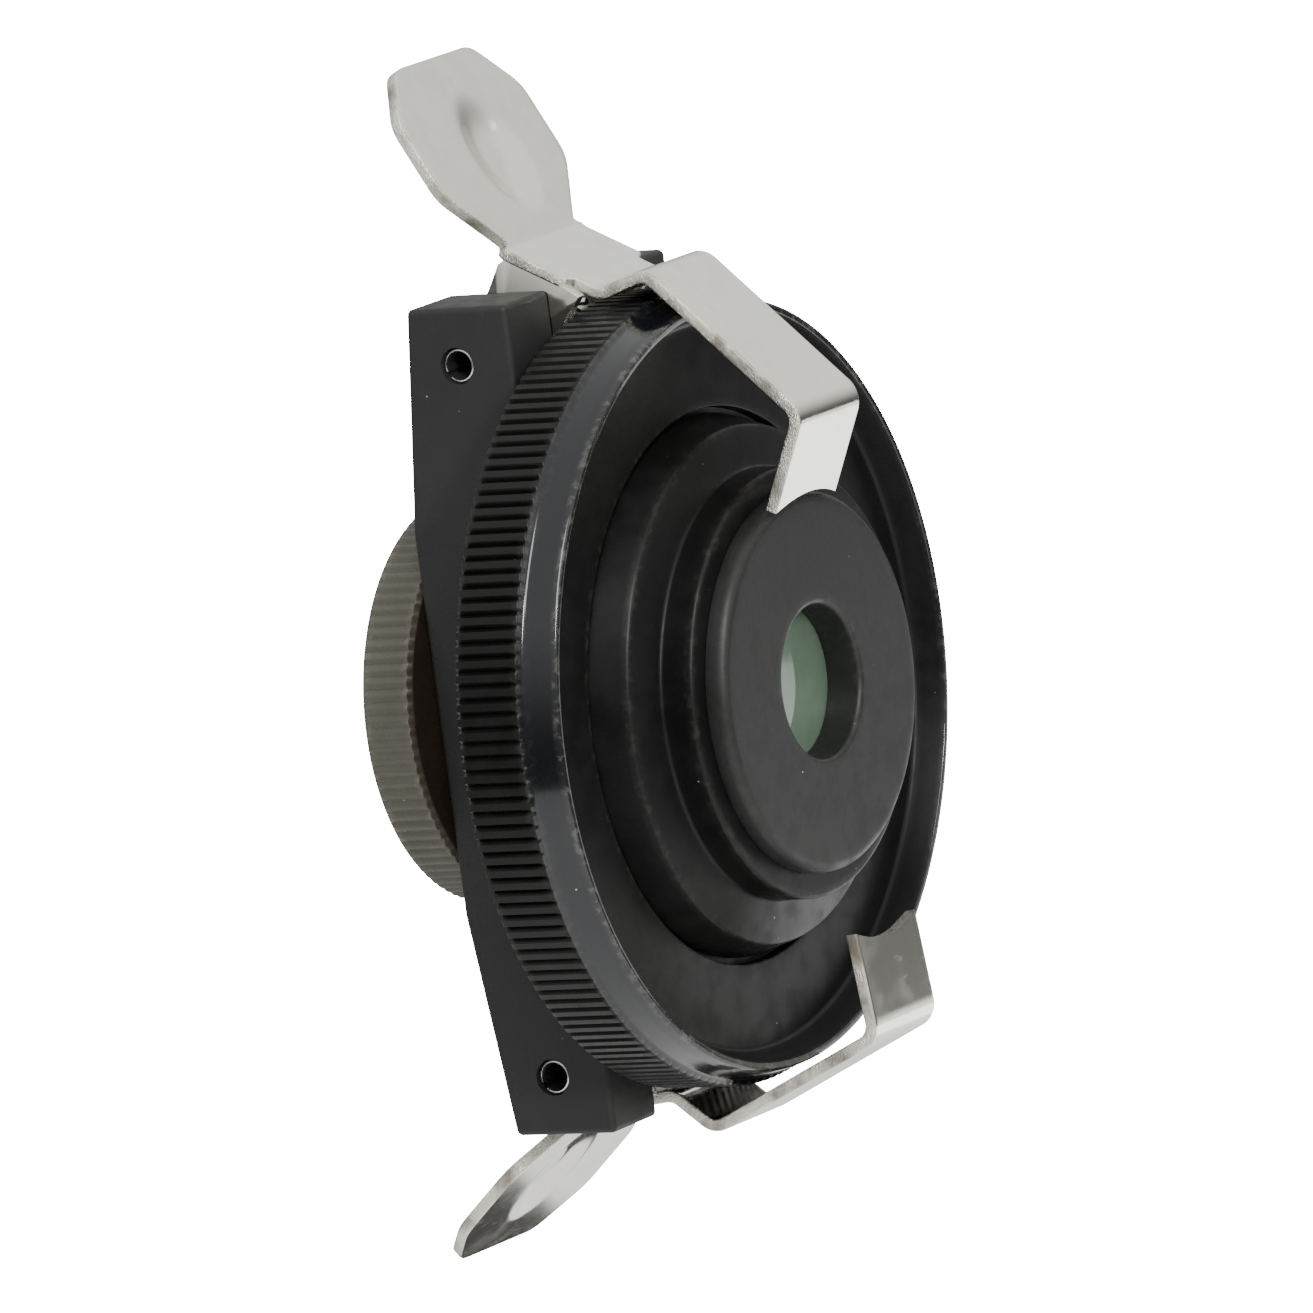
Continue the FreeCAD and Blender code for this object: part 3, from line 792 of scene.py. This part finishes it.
# ---------------------------------------------------------------- levers
@dataclass
class HookLever:
    """A bent sheet lever: thumb paddle, neck with two bent-down ears, valley, arm and hook."""

    name: str = "upper_lever"
    turned_over: bool = False
    open_deg: float = 0.0
    lean_deg: float = 119.0
    drop: float = 0.0
    set_back: float = 0.0
    sheet: float = 1.0
    bend: float = 1.7
    arm: float = 4.9
    web: float = 6.15
    paddle: float = 9.8
    paddle_length: float = 17.4
    foot: float = 3.1
    pin_hole: float = 1.56
    edge: float = 0.16
    hollow: float = 1.0
    columns: int = 36
    dimple_depth: float = 0.72
    dimple_centre: Pair = (9.2, 0.9)
    dimple_half: Pair = (5.9, 3.8)
    neck: Pair = (1.6, 7.6)          # forward of the pin and out from it
    valley_forward: float = 9.2
    arm_slope_deg: float = 44.0
    crest_back: float = 2.4          # from the rim's plane
    hook_ahead: float = 10.0
    hook_tip: Pair = (-3.6, -7.6)    # from the hook's bend
    knurl_gap: float = 0.2
    rim_gap: float = 0.3
    web_share: float = 0.72
    tip_share: float = 0.62
    waist: Pair = (5.6, 5.25)
    past_end: float = 200.0
    ear_foot_steps: int = 12
    ear_run: float = 0.6

    def pin(self) -> Vector:
        """Where the lever's pin stands, in mm."""
        joint = [j for j in frame["joints"] if j["name"] == self.name + "_hinge"][0]
        return Vector(joint["pos_m"]) / MM

    def line(self) -> list[Vector]:
        """Work out the side line from the pin, the knurl and the rim.

        Returns:
            Its corners from the paddle's tip to the hook's tip, from the pin: forward and outward.
        """
        pin = self.pin()
        height, forward = abs(pin.z), -pin.y
        cup, rim_plane, _ = span("knurled_cup")
        tilt = math.radians(self.arm_slope_deg)
        slope = math.tan(tilt)
        knurl_clear = cup - height + self.knurl_gap + self.sheet / 2
        rim_clear = RIM_RADIUS - height + (self.rim_gap + self.sheet / 2) / math.cos(tilt)
        spot = rim_plane - forward
        neck = Vector(self.neck)
        lean = math.radians(self.lean_deg)
        hook = Vector((spot + self.hook_ahead, rim_clear - self.hook_ahead * slope))
        shift = Vector((self.set_back, self.drop))
        places = [neck + Vector((math.cos(lean), math.sin(lean))) * self.paddle_length, neck,
                  Vector((self.valley_forward, knurl_clear + 0.05)),
                  Vector((spot - self.crest_back, rim_clear + self.crest_back * slope)), hook,
                  hook + Vector(self.hook_tip)]
        return [place - shift for place in places]

    def stations(self, step: float = 0.4) -> list[tuple[Vector, Vector, float]]:
        """Walk along the side line with its bends rounded.

        Args:
            step: longest step, in mm.

        Returns:
            The place, direction and distance walked at each station.
        """
        corners = self.line()
        walked: list[tuple[Vector, Vector]] = []
        start = corners[0]
        for i in range(1, len(corners)):
            run = (corners[i] - corners[i - 1]).normalized()
            reach, arc = 0.0, []
            if i < len(corners) - 1:
                after = (corners[i + 1] - corners[i]).normalized()
                turn = math.atan2(run.x * after.y - run.y * after.x, run.dot(after))
                reach = self.bend * math.tan(abs(turn) / 2)
                side = Vector((-run.y, run.x)) * (1 if turn > 0 else -1)
                centre = corners[i] - run * reach + side * self.bend
                for k in range(1, 11):
                    swing = Matrix.Rotation(turn * k / 10, 2)
                    arc.append((centre - swing @ (side * self.bend), swing @ run))
            end = corners[i] - run * reach
            parts = max(2, int((end - start).length / step))
            marks = [k / parts for k in range(0 if i == 1 else 1, parts + 1)]
            if i == 1:
                marks = [0.0, 0.003, 0.008, 0.015] + marks[1:]
            walked += [(start + (end - start) * t, run) for t in marks] + arc
            start = walked[-1][0]
        out: list[tuple[Vector, Vector, float]] = []
        total = 0.0
        for k, (place, way) in enumerate(walked):
            total += (place - walked[k - 1][0]).length if k else 0.0
            out.append((place, way, total))
        return out

    def outline(self) -> list[Pair]:
        """Draw half the flat sheet, with its corners rounded.

        Returns:
            Distances from the paddle's tip with the half width at each.
        """
        corners = self.line()
        length = self.paddle_length
        web_end = length + self.web_share * (corners[2] - corners[1]).length - 0.4
        marks = [(0.0, 0.0, 0), (0.0, self.paddle * self.tip_share, 2.6), (4.4, self.paddle, 3.2),
                 (length - 6.2, self.paddle, 3.2), (length - 1.2, self.waist[0], 1.6),
                 (length - 0.7, self.waist[1], 0.3), (length - 0.45, self.web, 0.25),
                 (web_end, self.web, 0.4), (web_end + 0.45, self.arm, 0.3),
                 (self.past_end, self.arm, 0), (self.past_end, 0.0, 0)]
        rows = rounded([(s, w, bend, 0.0) for s, w, bend in marks], 8)
        return [(s, w) for s, w, _ in rows if w > 0.1]

    def half_width(self, table: list[Pair], s: float) -> float:
        """Read the half width at one distance.

        Args:
            table: distances and half widths.
            s: the distance from the paddle's tip.

        Returns:
            The half width.
        """
        for (s0, w0), (s1, w1) in zip(table, table[1:]):
            if s0 <= s <= s1 and s1 > s0:
                return w0 + (w1 - w0) * (s - s0) / (s1 - s0)
        return table[0][1] if s < table[0][0] else table[-1][1]

    def dimple(self, s: float, x: float) -> float:
        """Press the thumb dimple.

        Args:
            s: the distance from the paddle's tip.
            x: the distance from the paddle's middle line.

        Returns:
            How far the sheet sinks there.
        """
        away = math.hypot((s - self.dimple_centre[0]) / self.dimple_half[0],
                          (x - self.dimple_centre[1]) / self.dimple_half[1])
        return self.dimple_depth * smoothstep(1.0, 0.35, away)

    def place(self, forward: float, out: float, x: float) -> Point:
        """Take a point beside the pin to its place on the loupe.

        Args:
            forward: forward of the pin.
            out: out from the pin.
            x: across the loupe.

        Returns:
            The place, in mm.
        """
        spot = Vector((x, -forward, out))
        if self.turned_over:
            spot = Matrix.Rotation(math.pi, 3, "Y") @ spot
            spot = Matrix.Rotation(math.radians(self.open_deg), 3, "X") @ spot
        return tuple(spot + self.pin())

    def section(self, wide: float) -> list[Pair]:
        """Draw the sheet's cross-section with rounded edges.

        Args:
            wide: its half width.

        Returns:
            Its points: across the sheet, and up from its middle.
        """
        half, edge = self.sheet / 2, self.edge
        inner = wide - edge
        rows = [(-inner + 2 * inner * k / self.columns, half) for k in range(self.columns + 1)]
        for k in range(1, 4):
            turn = math.pi / 2 * k / 3
            rows.append((inner + edge * math.sin(turn), half - edge * (1 - math.cos(turn))))
        for k in range(3, 0, -1):
            turn = math.pi / 2 * k / 3
            rows.append((inner + edge * math.sin(turn), edge * (1 - math.cos(turn)) - half))
        return rows + [(-x, -lift) for x, lift in rows]

    def sheet_mesh(self) -> bpy.types.Mesh:
        """Bend the sheet from the paddle's tip to the hook's tip.

        Returns:
            The sheet's mesh.
        """
        stations = self.stations()
        length = stations[-1][2]
        table = self.outline()
        rings: list[list[Point]] = []
        for place, way, s in stations:
            wide = self.half_width(table, s)
            out = Vector((-way.y, way.x))
            ring: list[Point] = []
            for x, lift in self.section(wide):
                sink = self.dimple(s, x) if s < self.paddle_length else 0.0
                near_tip = smoothstep(length - 4.0, length, s)
                back = near_tip * self.hollow * (1 - (x / self.arm) ** 2)
                ring.append(self.place(*(place + out * (lift - sink) - way * back), x))
            rings.append(ring)
        count = len(rings[0]) // 2

        def group(ring: int, k: int) -> int:
            """Tell the sheared edges, 1, from the plated faces, 0."""
            return 1 if ring < 0 or k % count >= self.columns else 0

        return loops(self.name + "_sheet", rings, group, sharp_deg=38.0)

    def ear_mesh(self, side: int) -> bpy.types.Mesh:
        """Cut one bent-down ear with its pin hole and rounded edge.

        Args:
            side: 1 for the right ear, -1 for the left.

        Returns:
            The ear's mesh.
        """
        corners = self.line()
        neck, valley = corners[1], corners[2]
        run = valley - neck
        shape = [(neck.x - 1.8, neck.y * 0.68), (neck.x - 0.74, neck.y - 0.6), (neck.x + 0.1, neck.y - 0.15)]
        shape += [(neck.x + run.x * t, neck.y + run.y * t - 0.1) for t in (0.4, 0.7)]
        shape.append((valley.x - 1.2, valley.y + 0.15))
        if not self.turned_over:
            shape.append((6.9, 2.7))
        shape.append((5.4, 0.6))
        for k in range(self.ear_foot_steps):
            turn = math.radians(-20 - 13 * k)
            shape.append((self.foot * math.cos(turn), self.foot * math.sin(turn)))
        shape.append((-self.foot * 0.93, 0.9))
        fine: list[Pair] = []
        for i, (a, b) in enumerate(shape):
            c, d = shape[(i + 1) % len(shape)]
            parts = max(1, int(math.hypot(c - a, d - b) / self.ear_run))
            fine += [(a + (c - a) * k / parts, b + (d - b) * k / parts) for k in range(parts)]
        outer, inner, edge = side * self.web, side * (self.web - self.sheet), side * self.edge
        hole, lip = self.pin_hole, self.edge
        rings: list[list[Point]] = []
        for a, b in fine:
            far = math.hypot(a, b)
            ua, ub = a / far, b / far
            rows = [(hole, outer - edge), (hole + lip, outer), (far - lip, outer),
                    (far - lip * 0.3, outer - edge * 0.3), (far, outer - edge), (far, inner + edge),
                    (far - lip, inner), (hole + lip, inner), (hole, inner + edge)]
            rings.append([self.place(ua * r, ub * r, x) for r, x in rows])
        return wrapped(f"{self.name}_ear_{'right' if side > 0 else 'left'}", rings,
                       lambda ring, k: 0 if k in (1, 6) else 1)

    def build(self, finishes: Finishes) -> list[bpy.types.Object]:
        """Build the lever and put it on its body.

        Args:
            finishes: the finishes to use.

        Returns:
            The lever's pieces.
        """
        skins = (finishes.nickel, finishes.sheared)
        made = [new_object(mesh.name, mesh, skins)
                for mesh in (self.sheet_mesh(), self.ear_mesh(1), self.ear_mesh(-1))]
        for piece in made:
            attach(piece, self.name)
            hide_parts(self.name)
        return made


# ---------------------------------------------------------------- pivot pins
@dataclass
class RolledPin:
    """A rolled spring pin with its lengthwise slot and chamfered ends."""

    node: str = "upper_pivot_pin"
    wall: float = 0.36
    slot_deg: float = 28.0
    slot_way: float = 215.0
    chamfer: float = 0.22
    chamfer_long: float = 0.35
    mouth: float = 0.06
    steps: int = 44

    def build(self, finishes: Finishes) -> bpy.types.Object:
        """Build the pin and put it on the frame.

        Args:
            finishes: the finishes to use.

        Returns:
            The dressed pin.
        """
        low, high = (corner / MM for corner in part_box(self.node))
        centre = (low + high) / 2
        radius = (high.z - low.z) / 2
        inside = radius - self.wall
        wide, long = self.mouth, self.chamfer_long
        rings: list[list[Point]] = []
        gap = math.radians(self.slot_deg) / 2
        for k in range(self.steps + 1):
            turn = math.radians(self.slot_way) + gap + (TAU - 2 * gap) * k / self.steps
            cy, cz = math.cos(turn), math.sin(turn)
            rows = [(low.x, inside + wide), (low.x, radius - self.chamfer), (low.x + 0.12, radius - 0.07),
                    (low.x + long, radius), (high.x - long, radius), (high.x - 0.12, radius - 0.07),
                    (high.x, radius - self.chamfer), (high.x, inside + wide), (high.x - 0.08, inside),
                    (low.x + 0.08, inside)]
            rings.append([(x, centre.y - r * cy, centre.z + r * cz) for x, r in rows])
        # Painted shade: run 8, the bore, takes the black anodised finish so the inside of the steel tube
        # reads dark; the pin is steel all through.
        mesh = loops(self.node + "_tube", rings, lambda ring, k: 1 if k == 8 else 0, sharp_deg=50.0)
        pin = new_object(mesh.name, mesh, (finishes.steel, finishes.anodic_black_and_bore_shade))
        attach(pin, "frame")
        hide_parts(self.node)
        return pin


# ---------------------------------------------------------------- CAD nodes that stay
FINISH_OF_NODE = {
    "frame_block": "block", "main_sleeve": "anodic_black_and_bore_shade", "sleeve_screws": "steel", "cup_snap_ring": "steel",
    "eye_snap_ring": "steel", "wave_washer": "steel", "front_window": "window", "upper_spring": "steel",
    "lower_spring": "steel", "cam_ring": "brass", "lens_cell": "anodic_black_and_bore_shade", "guide_pin": "steel",
    "front_lens": "glass", "lens_spacer": "anodic_black_and_bore_shade", "rear_lens": "glass", "lens_retaining_ring": "brass",
    "eye_lens_cell": "anodic_black_and_bore_shade", "eye_guide_pin": "steel", "eye_lens": "glass",
    "eye_lens_retaining_ring": "brass"}


def dress_nodes(finishes: Finishes) -> None:
    """Give every CAD node that stays its finish.

    Args:
        finishes: the finishes to use.
    """
    for node, finish in FINISH_OF_NODE.items():
        thing = frame["nodes"][node]
        for place in thing.material_slots:
            place.material = getattr(finishes, finish)
        LOG.info("node %s: %s", node, finish)


# ---------------------------------------------------------------- studio
@dataclass(frozen=True)
class Softbox:
    """One soft area light."""

    name: str
    place: Point
    size: Pair
    watts: float
    colour: Point = (1.0, 1.0, 1.0)
    target: Point = (0.0, 0.0, 0.0)

    def make(self) -> bpy.types.Object:
        """Add the light to the scene.

        Returns:
            The lamp.
        """
        data = bpy.data.lights.new(self.name, "AREA")
        data.shape = "RECTANGLE"
        data.size, data.size_y = self.size
        data.energy = self.watts
        data.color = self.colour
        lamp = bpy.data.objects.new(self.name, data)
        lamp.location = self.place
        way = Vector(self.target) - Vector(self.place)
        lamp.rotation_euler = way.to_track_quat("-Z", "Y").to_euler()
        bpy.context.scene.collection.objects.link(lamp)
        return lamp


LAMPS = (
    Softbox("key", (-0.75, -0.45, 0.75), (0.45, 0.45), 9.0),
    Softbox("window", (-0.42, -0.50, 0.28), (0.07, 0.11), 2.6),
    Softbox("front_fill", (0.1, -1.1, 0.25), (0.8, 0.6), 1.6),
    Softbox("low_fill", (0.40, -0.12, -0.17), (0.26, 0.22), 0.32))


@dataclass
class Studio:
    """White surroundings, soft lights, the pale floor and the camera."""

    right: Point = (0.4952, -0.8589, -0.1307)
    ahead: Point = (0.8474, 0.5107, -0.145)
    aside_mm: Pair = (-9.17, -2.15)
    wide_mm: float = 104.7
    distance: float = 1.8
    floor_below: float = 0.25
    floor_radius: float = 0.85
    low_sky: float = 0.12
    high_sky: float = 1.35
    seen_sky: float = 22.0
    sky_rise: Pair = (-0.15, 0.55)
    floor_sides: int = 96
    sensor_mm: float = 36.0
    card_by: Point = (0.0, 0.0262, -0.0389)    # the place on the loupe that the card stands before
    card_along: Point = (0.0, 0.756, -0.656)
    card_way: Point = (0.847, 0.28, -0.45)
    card_away: float = 0.15
    card_lower: float = 0.001
    card_half: float = 0.05
    card_tall: float = 0.07

    def floor(self) -> None:
        """Add the floor, well below the loupe."""
        data = bpy.data.meshes.new("pale_floor")
        sides, radius = self.floor_sides, self.floor_radius
        turns = [TAU * k / sides for k in range(sides)]
        edge = [(radius * math.cos(turn), radius * math.sin(turn), 0) for turn in turns]
        data.from_pydata(edge, [], [tuple(range(sides))])
        slab = new_object("pale_floor", data, (Plain("floor_white", (0.9, 0.9, 0.9)).make(),))
        slab.location = (0, 0, -self.floor_below)

    def world(self) -> None:
        """Light everything from a white surround."""
        scene = bpy.context.scene
        scene.world = bpy.data.worlds.new("white_surround")
        scene.world.use_nodes = True
        nodes, links = scene.world.node_tree.nodes, scene.world.node_tree.links
        height = nodes.new("ShaderNodeSeparateXYZ")
        links.new(nodes.new("ShaderNodeTexCoord").outputs["Generated"], height.inputs["Vector"])
        rise = nodes.new("ShaderNodeMapRange")
        rise.interpolation_type = "SMOOTHSTEP"
        links.new(height.outputs["Z"], rise.inputs["Value"])
        for name, amount in (("From Min", self.sky_rise[0]), ("From Max", self.sky_rise[1]),
                             ("To Min", self.low_sky), ("To Max", self.high_sky)):
            rise.inputs[name].default_value = amount
        choose = nodes.new("ShaderNodeMix")
        links.new(nodes.new("ShaderNodeLightPath").outputs["Is Camera Ray"], choose.inputs["Factor"])
        links.new(rise.outputs["Result"], choose.inputs[2])
        choose.inputs[3].default_value = self.seen_sky
        back = nodes["Background"]
        back.inputs["Color"].default_value = (1.0, 1.0, 1.0, 1.0)
        links.new(choose.outputs[0], back.inputs["Strength"])

    def lights(self) -> None:
        """Add the softboxes."""
        for lamp in LAMPS:
            lamp.make()

    def flag(self) -> None:
        """Add the black card that darkens half of the lower paddle's reflection."""
        way = Vector(self.card_way).normalized()
        across = way.cross(Vector(self.card_along)).normalized()
        drop = across.cross(way).normalized()
        corner = Vector(self.card_by) + way * self.card_away + drop * self.card_lower
        data = bpy.data.meshes.new("black_card")
        half, tall = self.card_half, self.card_tall
        corners = ((-half, 0), (half, 0), (half, tall), (-half, tall))
        spots = [corner + across * a + drop * b for a, b in corners]
        data.from_pydata([tuple(spot) for spot in spots], [], [(0, 1, 2, 3)])
        card = new_object("black_card", data, (Plain("card_black", (0.02, 0.02, 0.02)).make(),))
        card.visible_camera = card.visible_diffuse = card.visible_shadow = False

    def camera(self) -> None:
        """Place the camera and make it the scene's own."""
        right, ahead = (Vector(v).normalized() for v in (self.right, self.ahead))
        up = right.cross(ahead).normalized()
        right = ahead.cross(up).normalized()
        aim = (right * self.aside_mm[0] - up * self.aside_mm[1]) * MM
        data = bpy.data.cameras.new("loupe_camera")
        data.sensor_width = self.sensor_mm
        data.lens = self.sensor_mm * self.distance / (self.wide_mm * MM)
        data.clip_end = 100.0
        eye = bpy.data.objects.new("loupe_camera", data)
        turn = Matrix((right, up, -ahead)).transposed().to_4x4()
        eye.matrix_world = Matrix.Translation(aim - ahead * self.distance) @ turn
        bpy.context.scene.collection.objects.link(eye)
        bpy.context.scene.camera = eye

    def build(self) -> None:
        """Set the whole studio up."""
        self.floor()
        self.flag()
        self.world()
        self.lights()
        self.camera()


def main() -> None:
    """Build every piece, dress the nodes and set the studio up."""
    finishes = Finishes()
    built: list[bpy.types.Object] = [KnurledCup().build(finishes)]
    front = Front()
    built += [front.seat_ring(finishes), front.cap(finishes), EyeRing().build(finishes)]
    built += HookLever().build(finishes)
    lower = HookLever("lower_lever", turned_over=True, open_deg=20.0, drop=2.75, set_back=2.4)
    built += lower.build(finishes)
    built += [RolledPin().build(finishes), RolledPin("lower_pivot_pin").build(finishes)]
    for piece in built:
        LOG.info("piece %s: %d faces", piece.name, len(piece.data.polygons))
    dress_nodes(finishes)
    Studio().build()


if __name__ == "__main__":
    main()
